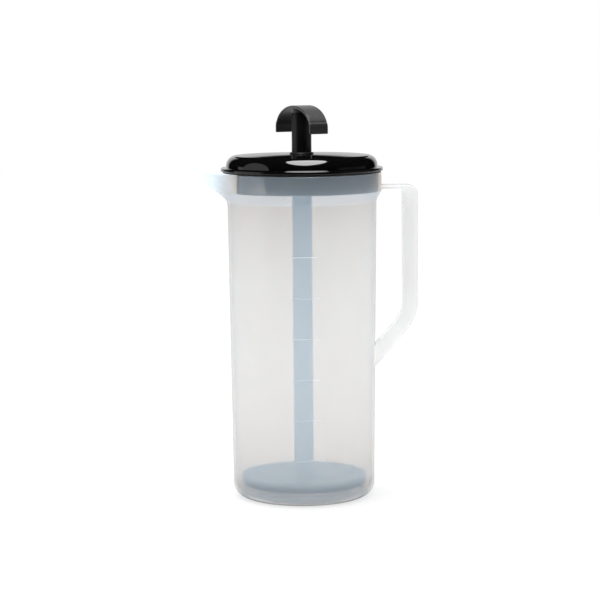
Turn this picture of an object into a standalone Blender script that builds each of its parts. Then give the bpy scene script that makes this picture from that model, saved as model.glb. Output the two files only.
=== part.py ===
"""Quick stir pitcher: a drafted plastic jug with a spout and a loop handle, a press-in lid that turns,
and a plunger whose mixing disc slides down the jug. Metres, +Z up. The origin is the centre of the
underside, the spout points along -X and the handle along +X."""

import math

import bmesh
import bpy
from mathutils import Matrix, Vector

# Clearances and cutting
SEAT_GAP = 0.0003
CUT_OVERRUN = 0.002
WELD_DISTANCE = 0.000001

# Round pieces: facets round the axis
LARGE_FACETS = 60
SMALL_FACETS = 36
FILLET_STEPS = 4
SHARP_EDGE_DEG = 35.0

# Jug wall and floor, drawn in from the collar
WALL = 0.0018
FLOOR = 0.0025
COLLAR_RADIUS = 0.0575
WALL_DRAW_IN = 0.00605
WALL_BASE_RADIUS = COLLAR_RADIUS - WALL_DRAW_IN
WALL_DRAFT_DEG = 0.636
BASE_FILLET = 0.0098
FLOOR_FILLET = 0.0080
PAD_RADIUS = 0.012
FOOT_WIDTH = 0.0060
RECESS_DEPTH = 0.0008

# Collar round the mouth, under the rim: its upright part and the sloping neck below it
RIM_HEIGHT = 0.2363
RIM_ROUND = 0.0005
COLLAR_DEPTH = 0.0131
NECK_DEPTH = 0.0067
COLLAR_HEIGHT = RIM_HEIGHT - COLLAR_DEPTH
NECK_HEIGHT = COLLAR_HEIGHT - NECK_DEPTH

# Spout: how far its tip stands out from the collar, where its keel leaves the wall, its upright lip
SPOUT_LENGTH = 0.0130
SPOUT_REACH = COLLAR_RADIUS + SPOUT_LENGTH
SPOUT_ROOT_DROP = 0.0030
SPOUT_ROOT_HEIGHT = NECK_HEIGHT - SPOUT_ROOT_DROP
SPOUT_LIP = 0.0034
SPOUT_ROWS = 3

# Handle: a channel open towards the jug, hung from a thin strap
HANDLE_DROP = 0.0092
HANDLE_TOP = RIM_HEIGHT - HANDLE_DROP
HANDLE_STANDOFF = 0.0259
HANDLE_REACH = COLLAR_RADIUS + HANDLE_STANDOFF
HANDLE_STRAP = 0.0026
HANDLE_DEPTH = 0.0109
HANDLE_ARM_DEPTH = 0.0099
HANDLE_WIDTH = 0.0190
HANDLE_WEB = 0.0026
HANDLE_CHEEK = 0.0024
HANDLE_CORNER = 0.0066
HANDLE_BEND_HEIGHT = 0.1440
HANDLE_BEND_RADIUS = 0.0350
HANDLE_ARM_DEG = 41.0
HANDLE_ROOT_HEIGHT = 0.1050
HANDLE_CHANNEL_STOP = 0.0030
HANDLE_CORNER_STEPS = 4
HANDLE_BEND_STEPS = 6
ROOT_SINK_SHARE = 0.7  # of the wall, how deep the handle's ends stand in it

# Raised volume marks on the front of the wall, one cup apart
MARK_COUNT = 6
MARK_FIRST_HEIGHT = 0.0341
MARK_PITCH = 0.0291
MARK_HEIGHT = 0.0007
MARK_PROUD = 0.0004
MARK_LEFT = 0.0080
MARK_RIGHT = 0.0118
MARK_STEPS = 4

# Lid: flange, dome, skirt
SEAL_THICKNESS = 0.0008
SEAL_WIDTH = 0.0019
SEAL_BOTTOM = RIM_HEIGHT + SEAT_GAP
LID_SEAT = SEAL_BOTTOM + SEAL_THICKNESS + SEAT_GAP
FLANGE_OVERHANG = 0.0011
FLANGE_RADIUS = COLLAR_RADIUS + FLANGE_OVERHANG
FLANGE_THICKNESS = 0.0024
FLANGE_EDGE = 0.0007
LID_WALL = 0.0018
SKIRT_CLEARANCE = 0.0007
SKIRT_RADIUS = COLLAR_RADIUS - WALL - SKIRT_CLEARANCE
SKIRT_WALL = 0.0016
SKIRT_DEPTH = 0.0150
FLANGE_LEDGE = 0.0037
DOME_RADIUS = FLANGE_RADIUS - FLANGE_LEDGE
SHOULDER_RISE = 0.0009
SHOULDER_HEIGHT = 0.0078
SHOULDER_WIDTH = 0.0065
CROWN_SLOPE = 0.045
SHOULDER_STEPS = 6
CROWN_STEPS = 3

# The skirt's pouring gap, which faces the spout, and the straining slots beside it, by their angle
# round the axis from +X
POUR_ANGLE_DEG = 180.0
POUR_SPREAD_DEG = 66.0
POUR_STEPS = 16
WINDOW_HEAD = 0.0004
STRAIN_ANGLE_DEG = 230.7
STRAIN_SLOTS = 9
STRAIN_SLOT_WIDTH = 0.0018
STRAIN_SLOT_PITCH_DEG = 2.5
STRAIN_FOOT = 0.0012
POUR_MARK_ANGLE_DEG = 233.0
POUR_MARK_DEPTH = 0.0012

# Plunger shaft, a tube, and the bush that it runs in
SHAFT_RADIUS = 0.00715
SHAFT_BORE_RADIUS = 0.0050
BUSH_GROOVE_WALL = 0.0008
BUSH_LIP_TOP_WALL = 0.0005
BUSH_LIP_RADIUS = 0.0090
BUSH_LIP_HEIGHT = 0.0008
BUSH_FLANGE_RADIUS = 0.0118
BUSH_FLANGE_THICKNESS = 0.0018
BUSH_SLEEVE_RADIUS = 0.0092
BUSH_SLEEVE_LENGTH = 0.0040

# Plunger grip: an arch with a straight lip on each leg, turned about the shaft
GRIP_TURN_DEG = 61.0
GRIP_HALF_SPAN = 0.0261
GRIP_RISE = 0.0160
GRIP_LEG = 0.0039
GRIP_BAND = 0.0020
GRIP_WIDTH = 0.0146
GRIP_LIFT = 0.0469
GRIP_TOP = LID_SEAT + GRIP_LIFT
GRIP_EDGE = 0.0006
GRIP_EDGE_DEG = 50.0
GRIP_STEPS = 20
GRIP_BOSS_LENGTH = 0.0030
SPIGOT_LENGTH = 0.0180

# Mixing disc
DISC_CLEARANCE = 0.00405
DISC_HEIGHT = 0.0125
DISC_RADIUS = WALL_BASE_RADIUS - WALL - DISC_CLEARANCE
DISC_TOP = FLOOR + SEAT_GAP + DISC_HEIGHT
DISC_PLATE = 0.0020
DISC_RIM_HEIGHT = 0.0057
DISC_RIM_WIDTH = 0.0018
HUB_RADIUS = 0.0105
HUB_CHAMFER = 0.0008
SLOT_RADIAL_WIDTH = 0.0038
INNER_SLOT_RADIUS = 0.0195
INNER_SLOTS = 6
OUTER_SLOT_RADIUS = 0.0325
OUTER_SLOTS = 12
SLOT_OPEN_SHARE = 0.62  # of the step from slot to slot
SLOT_STEPS = 3

# Sizes that follow
SHAFT_BOTTOM = DISC_TOP + SEAT_GAP
GRIP_SPRING = GRIP_TOP - GRIP_RISE
BOSS_BOTTOM = GRIP_TOP - GRIP_BAND - GRIP_BOSS_LENGTH
SHAFT_TOP = BOSS_BOTTOM - SEAT_GAP
SPIGOT_RADIUS = SHAFT_BORE_RADIUS - SEAT_GAP
BUSH_BORE_RADIUS = SHAFT_RADIUS + SEAT_GAP
BUSH_GROOVE_RADIUS = BUSH_BORE_RADIUS + BUSH_GROOVE_WALL
LID_HOLE_RADIUS = BUSH_GROOVE_RADIUS + SEAT_GAP

# Finishes: colour, roughness
CLEAR_POLYPROPYLENE = ("translucent_polypropylene", (0.86, 0.87, 0.88, 1.0), 0.35)
GLOSS_BLACK = ("gloss_black_lid", (0.012, 0.011, 0.013, 1.0), 0.10)
SATIN_BLACK = ("satin_black_plunger", (0.018, 0.017, 0.019, 1.0), 0.38)
SEAL_RUBBER = ("seal_rubber", (0.020, 0.020, 0.022, 1.0), 0.60)


def make_material(finish):
    """A Principled material from a finish."""
    name, colour, roughness = finish
    material = bpy.data.materials.get(name) or bpy.data.materials.new(name)
    material.use_nodes = True
    shader = material.node_tree.nodes["Principled BSDF"]
    shader.inputs["Base Color"].default_value = colour
    shader.inputs["Roughness"].default_value = roughness
    shader.inputs["Metallic"].default_value = 0.0
    return material


def add_object(name, mesh_data, finish=None, parent=None, height=0.0, turn=0.0):
    """Puts a bmesh into a new object at a height on the axis; without a finish it is a cutter."""
    mesh = bpy.data.meshes.new(name)
    mesh_data.to_mesh(mesh)
    mesh_data.free()
    made = bpy.data.objects.new(name, mesh)
    bpy.context.scene.collection.objects.link(made)
    made.location = (0.0, 0.0, height)
    made.rotation_euler = (0.0, 0.0, turn)
    made.parent = parent
    if finish is None:
        made.hide_render = True
        made.display_type = "WIRE"
        return made
    mesh.materials.append(make_material(finish))
    mesh.shade_smooth()
    mesh.set_sharp_from_angle(angle=math.radians(SHARP_EDGE_DEG))
    return made


def add_boolean(target, operand, operation):
    """Joins or cuts the target with another object."""
    modifier = target.modifiers.new(operand.name, "BOOLEAN")
    modifier.object = operand
    modifier.operation = operation
    modifier.solver = "EXACT"


def lathe(profile, facets, ring=False):
    """Spins a profile of (radius, height) points round Z; a ring's profile closes on itself."""
    mesh_data = bmesh.new()
    verts = [mesh_data.verts.new((radius, 0.0, height)) for radius, height in profile]
    pairs = list(zip(verts, verts[1:]))
    if ring:
        pairs.append((verts[-1], verts[0]))
    edges = [mesh_data.edges.new(pair) for pair in pairs]
    bmesh.ops.spin(
        mesh_data,
        geom=verts + edges,
        cent=(0.0, 0.0, 0.0),
        axis=(0.0, 0.0, 1.0),
        angle=math.tau,
        steps=facets,
        use_merge=True,
    )
    bmesh.ops.remove_doubles(mesh_data, verts=mesh_data.verts, dist=WELD_DISTANCE)
    bmesh.ops.recalc_face_normals(mesh_data, faces=mesh_data.faces)
    return mesh_data


def add_prism(mesh_data, outline, direction):
    """Adds a flat outline of 3D points to a bmesh and extrudes it along a direction."""
    face = mesh_data.faces.new([mesh_data.verts.new(point) for point in outline])
    grown = bmesh.ops.extrude_face_region(mesh_data, geom=[face])["geom"]
    moved = [item for item in grown if isinstance(item, bmesh.types.BMVert)]
    bmesh.ops.translate(mesh_data, verts=moved, vec=direction)
    bmesh.ops.recalc_face_normals(mesh_data, faces=mesh_data.faces)


def arc(centre, radius, start_deg, end_deg, steps, radius_end=None):
    """Points of an arc in a plane, whose radius may change evenly on the way."""
    last = radius if radius_end is None else radius_end
    points = []
    for step in range(steps + 1):
        share = step / steps
        angle = math.radians(start_deg + (end_deg - start_deg) * share)
        reach = radius + (last - radius) * share
        points.append((centre[0] + reach * math.cos(angle), centre[1] + reach * math.sin(angle)))
    return points


def wall_radius(height):
    """The jug's outer radius at a height: drafted wall, sloping neck, upright collar."""
    drafted = WALL_BASE_RADIUS + min(height, NECK_HEIGHT) * math.tan(math.radians(WALL_DRAFT_DEG))
    if height <= NECK_HEIGHT:
        return drafted
    share = min((height - NECK_HEIGHT) / (COLLAR_HEIGHT - NECK_HEIGHT), 1.0)
    return drafted + (COLLAR_RADIUS - drafted) * share


def spout_tip_radius(height):
    """The keel's distance from the axis, a smooth step from the wall to the tip."""
    root = wall_radius(SPOUT_ROOT_HEIGHT)
    rise = RIM_HEIGHT - SPOUT_LIP - SPOUT_ROOT_HEIGHT
    share = min(max((height - SPOUT_ROOT_HEIGHT) / rise, 0.0), 1.0)
    return root + (SPOUT_REACH - root) * share * share * (3.0 - 2.0 * share)


def pull_spout(mesh_data):
    """Moves the vertices near -X outwards, onto the two lines from the keel that touch the wall's circle."""
    for vert in mesh_data.verts:
        height = vert.co.z
        if height <= SPOUT_ROOT_HEIGHT:
            continue
        spread = math.acos(min(wall_radius(height) / spout_tip_radius(height), 1.0))
        offset = abs(math.atan2(vert.co.y, -vert.co.x))
        if offset < spread:
            stretch = 1.0 / math.cos(spread - offset)
            vert.co.x *= stretch
            vert.co.y *= stretch


def spaced(start, end, count):
    """Evenly spaced heights after start, up to and with end."""
    return [start + (end - start) * (step + 1) / count for step in range(count)]


def mouth_heights():
    """The rows that the spout needs, from its root to just under the rim."""
    heights = spaced(SPOUT_ROOT_HEIGHT, NECK_HEIGHT, SPOUT_ROWS - 1)
    heights += spaced(NECK_HEIGHT, COLLAR_HEIGHT, SPOUT_ROWS)
    heights += spaced(COLLAR_HEIGHT, RIM_HEIGHT - SPOUT_LIP, SPOUT_ROWS)
    heights.append(RIM_HEIGHT - RIM_ROUND)
    return heights


def jug_profile():
    """The jug's half section, from the middle of the underside, over the rim, to the middle of the floor."""
    foot = wall_radius(BASE_FILLET) - BASE_FILLET
    foot_inner = foot - FOOT_WIDTH
    profile = [
        (0.0, 0.0),
        (PAD_RADIUS, 0.0),
        (PAD_RADIUS + RECESS_DEPTH, RECESS_DEPTH),
        (foot_inner - RECESS_DEPTH, RECESS_DEPTH),
        (foot_inner, 0.0),
    ]
    profile += arc((foot, BASE_FILLET), BASE_FILLET, -90.0, 0.0, FILLET_STEPS)
    rows = [SPOUT_ROOT_HEIGHT] + mouth_heights()
    profile += [(wall_radius(height), height) for height in rows]
    profile.append((COLLAR_RADIUS - RIM_ROUND, RIM_HEIGHT))
    profile.append((COLLAR_RADIUS - WALL + RIM_ROUND, RIM_HEIGHT))
    profile += [(wall_radius(height) - WALL, height) for height in reversed(rows)]
    floor_corner = FLOOR + FLOOR_FILLET
    corner_radius = wall_radius(floor_corner) - WALL - FLOOR_FILLET
    profile += arc((corner_radius, floor_corner), FLOOR_FILLET, 0.0, -90.0, FILLET_STEPS)
    profile.append((0.0, FLOOR))
    return profile


def bar_points(inset, inset_arm, top, stop_x):
    """The handle's bar, bend and lower arm as (x, z) points, set in from its outer face."""
    centre = (HANDLE_REACH - HANDLE_BEND_RADIUS, HANDLE_BEND_HEIGHT)
    points = [(HANDLE_REACH - inset, top)]
    points += arc(
        centre,
        HANDLE_BEND_RADIUS - inset,
        0.0,
        -HANDLE_ARM_DEG,
        HANDLE_BEND_STEPS,
        HANDLE_BEND_RADIUS - inset_arm,
    )
    lean = math.radians(HANDLE_ARM_DEG)
    last_x, last_z = points[-1]
    run = (last_x - stop_x) / math.sin(lean)
    points.append((stop_x, last_z - run * math.cos(lean)))
    return points


def make_handle():
    """The handle as a solid outline with a channel cut into its inner side."""
    half_width = HANDLE_WIDTH / 2
    strap_root = COLLAR_RADIUS - WALL * ROOT_SINK_SHARE
    arm_root = wall_radius(HANDLE_ROOT_HEIGHT) - WALL * ROOT_SINK_SHARE
    corner_centre = (HANDLE_REACH - HANDLE_CORNER, HANDLE_TOP - HANDLE_CORNER)
    outline = [(strap_root, HANDLE_TOP)]
    outline += arc(corner_centre, HANDLE_CORNER, 90.0, 0.0, HANDLE_CORNER_STEPS)
    outline += bar_points(0.0, 0.0, corner_centre[1], arm_root)[1:]
    strap_underside = HANDLE_TOP - HANDLE_STRAP
    outline += reversed(bar_points(HANDLE_DEPTH, HANDLE_ARM_DEPTH, strap_underside, arm_root))
    outline.append((strap_root, strap_underside))
    solid = bmesh.new()
    add_prism(
        solid,
        [Vector((x, -half_width, z)) for x, z in outline],
        Vector((0.0, HANDLE_WIDTH, 0.0)),
    )
    handle = add_object("handle_outline", solid)

    channel_half = half_width - HANDLE_CHEEK
    channel_stop = wall_radius(HANDLE_BEND_HEIGHT) + HANDLE_CHANNEL_STOP
    overrun = HANDLE_DEPTH + CUT_OVERRUN
    web_side = bar_points(HANDLE_WEB, HANDLE_WEB, corner_centre[1], channel_stop)
    open_side = bar_points(overrun, overrun, corner_centre[1], channel_stop)
    cutter = bmesh.new()
    add_prism(
        cutter,
        [Vector((x, -channel_half, z)) for x, z in web_side + open_side[::-1]],
        Vector((0.0, 2 * channel_half, 0.0)),
    )
    add_boolean(handle, add_object("handle_channel", cutter), "DIFFERENCE")
    return handle


def make_marks():
    """Raised lines that follow the wall, each a short sweep of a small rectangle."""
    mesh_data = bmesh.new()
    for index in range(MARK_COUNT):
        height = MARK_FIRST_HEIGHT + index * MARK_PITCH
        outer = wall_radius(height) + MARK_PROUD
        inner = wall_radius(height) - WALL * ROOT_SINK_SHARE
        start = -math.pi / 2 - math.asin(MARK_LEFT / outer)
        sweep = math.asin(MARK_LEFT / outer) + math.asin(MARK_RIGHT / outer)
        low, high = height - MARK_HEIGHT / 2, height + MARK_HEIGHT / 2
        corners = [(inner, low), (outer, low), (outer, high), (inner, high)]
        turn = Matrix.Rotation(start, 4, "Z")
        verts = [mesh_data.verts.new(turn @ Vector((radius, 0.0, z))) for radius, z in corners]
        bmesh.ops.spin(
            mesh_data,
            geom=[mesh_data.faces.new(verts)],
            cent=(0.0, 0.0, 0.0),
            axis=(0.0, 0.0, 1.0),
            angle=sweep,
            steps=MARK_STEPS,
        )
    bmesh.ops.recalc_face_normals(mesh_data, faces=mesh_data.faces)
    return add_object("volume_marks", mesh_data)


def make_jug():
    """The jug: lathed wall and floor, pulled spout, handle and volume marks, all one moulding."""
    mesh_data = lathe(jug_profile(), LARGE_FACETS)
    pull_spout(mesh_data)
    jug = add_object("pitcher_body", mesh_data, CLEAR_POLYPROPYLENE)
    add_boolean(jug, make_handle(), "UNION")
    add_boolean(jug, make_marks(), "UNION")
    return jug


def dome_outline(inset):
    """The dome's (radius, height) points from its foot to the shaft hole: an elliptic shoulder, then a
    shallow parabola that meets it at the crown's slope. The inset shrinks both, for the inside."""
    wide = SHOULDER_WIDTH - inset
    tall = SHOULDER_HEIGHT - inset
    centre = (DOME_RADIUS - SHOULDER_WIDTH, FLANGE_THICKNESS + SHOULDER_RISE)
    # The ellipse has the crown's slope where its eccentric angle has this tangent
    meet = math.atan2(tall, CROWN_SLOPE * wide)
    points = []
    for step in range(SHOULDER_STEPS + 1):
        angle = meet * step / SHOULDER_STEPS
        points.append((centre[0] + wide * math.cos(angle), centre[1] + tall * math.sin(angle)))
    edge_radius, edge_height = points[-1]
    for step in range(1, CROWN_STEPS + 1):
        radius = edge_radius + (LID_HOLE_RADIUS - edge_radius) * step / CROWN_STEPS
        rise = CROWN_SLOPE * (edge_radius**2 - radius**2) / (2 * edge_radius)
        points.append((radius, edge_height + rise))
    return points


def lid_profile():
    """The lid's ring section, from the flange's underside; heights are from the lid's seat."""
    outside = [
        (SKIRT_RADIUS - SKIRT_WALL, -SKIRT_DEPTH),
        (SKIRT_RADIUS, -SKIRT_DEPTH),
        (SKIRT_RADIUS, 0.0),
        (FLANGE_RADIUS - FLANGE_EDGE, 0.0),
        (FLANGE_RADIUS, FLANGE_EDGE),
        (FLANGE_RADIUS, FLANGE_THICKNESS - FLANGE_EDGE),
        (FLANGE_RADIUS - FLANGE_EDGE, FLANGE_THICKNESS),
        (DOME_RADIUS, FLANGE_THICKNESS),
    ]
    return outside + dome_outline(0.0) + dome_outline(LID_WALL)[::-1]


def radial_box(mesh_data, angle_deg, inner, outer, width, low, high):
    """Adds a box that points away from the axis at an angle."""
    half = width / 2
    corners = [(inner, -half), (outer, -half), (outer, half), (inner, half)]
    turn = Matrix.Rotation(math.radians(angle_deg), 4, "Z")
    outline = [turn @ Vector((x, y, low)) for x, y in corners]
    add_prism(mesh_data, outline, Vector((0.0, 0.0, high - low)))


def make_lid(parent):
    """The lid: lathed dome, flange and skirt, with a pouring gap, straining slots and a flat mark."""
    lid = add_object("lid_cover", lathe(lid_profile(), LARGE_FACETS, ring=True), GLOSS_BLACK, parent, LID_SEAT)
    windows = bmesh.new()
    inner = SKIRT_RADIUS - SKIRT_WALL - CUT_OVERRUN
    outer = SKIRT_RADIUS + CUT_OVERRUN
    foot = -SKIRT_DEPTH - CUT_OVERRUN
    first = POUR_ANGLE_DEG - POUR_SPREAD_DEG / 2
    last = POUR_ANGLE_DEG + POUR_SPREAD_DEG / 2
    gap = sector_outline((inner + outer) / 2, outer - inner, math.radians(first), math.radians(last), POUR_STEPS, foot)
    add_prism(windows, gap, Vector((0.0, 0.0, -WINDOW_HEAD - foot)))
    for index in range(STRAIN_SLOTS):
        place = STRAIN_ANGLE_DEG + (index - (STRAIN_SLOTS - 1) / 2) * STRAIN_SLOT_PITCH_DEG
        radial_box(
            windows,
            place,
            inner,
            outer,
            STRAIN_SLOT_WIDTH,
            -SKIRT_DEPTH + STRAIN_FOOT,
            -WINDOW_HEAD,
        )
    add_boolean(lid, add_object("skirt_windows", windows, None, parent, LID_SEAT), "DIFFERENCE")

    mark = bmesh.new()
    radial_box(
        mark,
        POUR_MARK_ANGLE_DEG,
        DOME_RADIUS - POUR_MARK_DEPTH,
        DOME_RADIUS + CUT_OVERRUN,
        DOME_RADIUS,
        FLANGE_THICKNESS + SHOULDER_RISE / 2,
        FLANGE_THICKNESS + SHOULDER_HEIGHT,
    )
    add_boolean(lid, add_object("pour_mark", mark, None, parent, LID_SEAT), "DIFFERENCE")
    return lid


def make_seal(parent):
    """The flat ring between the rim and the lid's flange, round the skirt."""
    inner = SKIRT_RADIUS + SEAT_GAP
    profile = [
        (inner, 0.0),
        (inner + SEAL_WIDTH, 0.0),
        (inner + SEAL_WIDTH, SEAL_THICKNESS),
        (inner, SEAL_THICKNESS),
    ]
    return add_object("lid_seal", lathe(profile, LARGE_FACETS, ring=True), SEAL_RUBBER, parent, SEAL_BOTTOM)


def make_bush(parent):
    """The grommet in the lid's hole: a cone lip over the crown, a groove at the hole's edge, and a
    flange and sleeve below."""
    crown_top = dome_outline(0.0)[-1][1] + SEAT_GAP
    crown_underside = dome_outline(LID_WALL)[-1][1] - SEAT_GAP
    flange_bottom = crown_underside - BUSH_FLANGE_THICKNESS
    profile = [
        (BUSH_BORE_RADIUS, crown_top + BUSH_LIP_HEIGHT),
        (BUSH_BORE_RADIUS, flange_bottom - BUSH_SLEEVE_LENGTH),
        (BUSH_SLEEVE_RADIUS, flange_bottom - BUSH_SLEEVE_LENGTH),
        (BUSH_SLEEVE_RADIUS, flange_bottom),
        (BUSH_FLANGE_RADIUS, flange_bottom),
        (BUSH_FLANGE_RADIUS, crown_underside),
        (BUSH_GROOVE_RADIUS, crown_underside),
        (BUSH_GROOVE_RADIUS, crown_top),
        (BUSH_LIP_RADIUS, crown_top),
        (BUSH_BORE_RADIUS + BUSH_LIP_TOP_WALL, crown_top + BUSH_LIP_HEIGHT),
    ]
    return add_object("shaft_bush", lathe(profile, SMALL_FACETS, ring=True), SEAL_RUBBER, parent, LID_SEAT)


def make_shaft(parent):
    """The plunger's tube, from the disc to the grip."""
    profile = [
        (SHAFT_BORE_RADIUS, SHAFT_BOTTOM),
        (SHAFT_RADIUS, SHAFT_BOTTOM),
        (SHAFT_RADIUS, SHAFT_TOP),
        (SHAFT_BORE_RADIUS, SHAFT_TOP),
    ]
    return add_object("plunger_shaft", lathe(profile, SMALL_FACETS, ring=True), SATIN_BLACK, parent)


def make_grip(parent):
    """The arched grip, with a boss that meets the shaft and a spigot that plugs into it."""
    inner_span = GRIP_HALF_SPAN - GRIP_BAND
    inner_rise = GRIP_RISE - GRIP_BAND
    leg_bottom = GRIP_SPRING - GRIP_LEG
    outline = [(GRIP_HALF_SPAN, leg_bottom)]
    for step in range(GRIP_STEPS + 1):
        angle = math.pi * step / GRIP_STEPS
        outline.append((GRIP_HALF_SPAN * math.cos(angle), GRIP_SPRING + GRIP_RISE * math.sin(angle)))
    outline += [(-GRIP_HALF_SPAN, leg_bottom), (-inner_span, leg_bottom)]
    for step in range(GRIP_STEPS + 1):
        angle = math.pi * (1.0 - step / GRIP_STEPS)
        outline.append((inner_span * math.cos(angle), GRIP_SPRING + inner_rise * math.sin(angle)))
    outline.append((inner_span, leg_bottom))
    band = bmesh.new()
    add_prism(
        band,
        [Vector((x, -GRIP_WIDTH / 2, z)) for x, z in outline],
        Vector((0.0, GRIP_WIDTH, 0.0)),
    )
    turn = -math.radians(GRIP_TURN_DEG)
    grip = add_object("plunger_grip", band, SATIN_BLACK, parent, 0.0, turn)
    rounding = grip.modifiers.new("edges", "BEVEL")
    rounding.width = GRIP_EDGE
    rounding.segments = 1
    rounding.limit_method = "ANGLE"
    rounding.angle_limit = math.radians(GRIP_EDGE_DEG)

    boss_top = GRIP_TOP - GRIP_BAND * ROOT_SINK_SHARE
    stem = [
        (0.0, BOSS_BOTTOM - SPIGOT_LENGTH),
        (SPIGOT_RADIUS, BOSS_BOTTOM - SPIGOT_LENGTH),
        (SPIGOT_RADIUS, BOSS_BOTTOM),
        (SHAFT_RADIUS, BOSS_BOTTOM),
        (SHAFT_RADIUS, boss_top),
        (0.0, boss_top),
    ]
    add_boolean(grip, add_object("grip_stem", lathe(stem, SMALL_FACETS), None, parent), "UNION")
    return grip


def sector_outline(radius, width, start, end, steps, height):
    """A slot in plan: two arcs round the axis, joined at their ends."""
    outer = radius + width / 2
    inner = radius - width / 2
    points = []
    for step in range(steps + 1):
        angle = start + (end - start) * step / steps
        points.append(Vector((outer * math.cos(angle), outer * math.sin(angle), height)))
    for step in range(steps + 1):
        angle = end + (start - end) * step / steps
        points.append(Vector((inner * math.cos(angle), inner * math.sin(angle), height)))
    return points


def make_disc(parent):
    """The mixing disc: a slotted plate with a rim below, a hub that stands on the floor, and a spigot."""
    plate_underside = DISC_TOP - DISC_PLATE
    rim_bottom = DISC_TOP - DISC_RIM_HEIGHT
    hub_bottom = FLOOR + SEAT_GAP
    profile = [
        (0.0, hub_bottom),
        (HUB_RADIUS - HUB_CHAMFER, hub_bottom),
        (HUB_RADIUS, hub_bottom + HUB_CHAMFER),
        (HUB_RADIUS, plate_underside),
        (DISC_RADIUS - DISC_RIM_WIDTH, plate_underside),
        (DISC_RADIUS - DISC_RIM_WIDTH, rim_bottom),
        (DISC_RADIUS, rim_bottom),
        (DISC_RADIUS, DISC_TOP),
        (SPIGOT_RADIUS, DISC_TOP),
        (SPIGOT_RADIUS, DISC_TOP + SPIGOT_LENGTH),
        (0.0, DISC_TOP + SPIGOT_LENGTH),
    ]
    disc = add_object("mixing_disc", lathe(profile, LARGE_FACETS), SATIN_BLACK, parent)
    slots = bmesh.new()
    low = plate_underside - CUT_OVERRUN
    for radius, count in ((INNER_SLOT_RADIUS, INNER_SLOTS), (OUTER_SLOT_RADIUS, OUTER_SLOTS)):
        step = math.tau / count
        half = step * SLOT_OPEN_SHARE / 2
        for index in range(count):
            middle = step * index
            outline = sector_outline(
                radius,
                SLOT_RADIAL_WIDTH,
                middle - half,
                middle + half,
                SLOT_STEPS,
                low,
            )
            add_prism(slots, outline, Vector((0.0, 0.0, DISC_PLATE + 2 * CUT_OVERRUN)))
    add_boolean(disc, add_object("disc_slots", slots, None, parent), "DIFFERENCE")
    return disc


def make_axis(name):
    """An empty on the jug's axis, for the pieces that move together."""
    axis = bpy.data.objects.new(name, None)
    bpy.context.scene.collection.objects.link(axis)
    return axis


def main():
    """Clears the scene and builds every piece."""
    for old in list(bpy.data.objects):
        bpy.data.objects.remove(old, do_unlink=True)
    make_jug()
    lid_axis = make_axis("lid_axis")
    make_seal(lid_axis)
    make_lid(lid_axis)
    make_bush(lid_axis)
    plunger_axis = make_axis("plunger_axis")
    make_shaft(plunger_axis)
    make_grip(plunger_axis)
    make_disc(plunger_axis)


main()
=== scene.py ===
"""Looks of the quick stir pitcher: a natural polypropylene jug with a spout and a loop handle, a gloss
black press-in lid and a satin black plunger, in a pale studio. Metres, +Z up, in the CAD's frame."""

import logging
import math
from dataclasses import dataclass
from enum import Enum

import bmesh
import bpy
import numpy as np
from mathutils import Matrix, Vector


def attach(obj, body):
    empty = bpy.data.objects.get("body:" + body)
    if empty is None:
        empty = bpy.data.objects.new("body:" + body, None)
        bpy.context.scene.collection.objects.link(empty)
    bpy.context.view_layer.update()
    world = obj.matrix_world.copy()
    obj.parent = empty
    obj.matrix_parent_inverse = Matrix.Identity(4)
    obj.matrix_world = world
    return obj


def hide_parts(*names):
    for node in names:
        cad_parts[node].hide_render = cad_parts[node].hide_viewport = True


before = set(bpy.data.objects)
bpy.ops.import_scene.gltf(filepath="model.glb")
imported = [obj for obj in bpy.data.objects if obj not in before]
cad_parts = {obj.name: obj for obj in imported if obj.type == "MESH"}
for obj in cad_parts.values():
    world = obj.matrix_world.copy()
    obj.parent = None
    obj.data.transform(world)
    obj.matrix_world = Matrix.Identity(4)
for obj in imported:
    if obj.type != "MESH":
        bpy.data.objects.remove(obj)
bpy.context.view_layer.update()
LOG = logging.getLogger("quick_stir_pitcher")

Points = np.ndarray
Faces = list[list[int]]
Shape = tuple[Points, Faces]
Span = tuple[float, float]
Triple = tuple[float, float, float]
Piece = bpy.types.Object
Material = bpy.types.Material
Tree = bpy.types.NodeTree
Socket = bpy.types.NodeSocket
Ramp = tuple[Socket, float, float, float, float]

MILLIMETRE = 0.001
WELD = 0.000001
CUT_OVERRUN = 0.002
ARC_STEPS = 6
EDGE_STEPS = 4
SECTOR_STEP_DEG = 2.0
LARGE_FACETS = 256
SMALL_FACETS = 96
BEAD_FACETS = 12
SHARP_DEG = 38.0


class Body(Enum):
    """The CAD bodies that pieces ride on."""

    PITCHER = "pitcher"
    SEAL = "seal"
    LID = "lid"
    BUSH = "bush"
    PLUNGER = "plunger"


class Slot(Enum):
    """The record's material slots."""

    PITCHER = "pitcher_plastic"
    LID = "lid_plastic"
    PLUNGER = "plunger_plastic"
    SEAL = "seal_rubber"


class Solid(Enum):
    """How one solid is combined with another."""

    JOIN = "UNION"
    CUT = "DIFFERENCE"


# Shapes worked out as arrays


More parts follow.
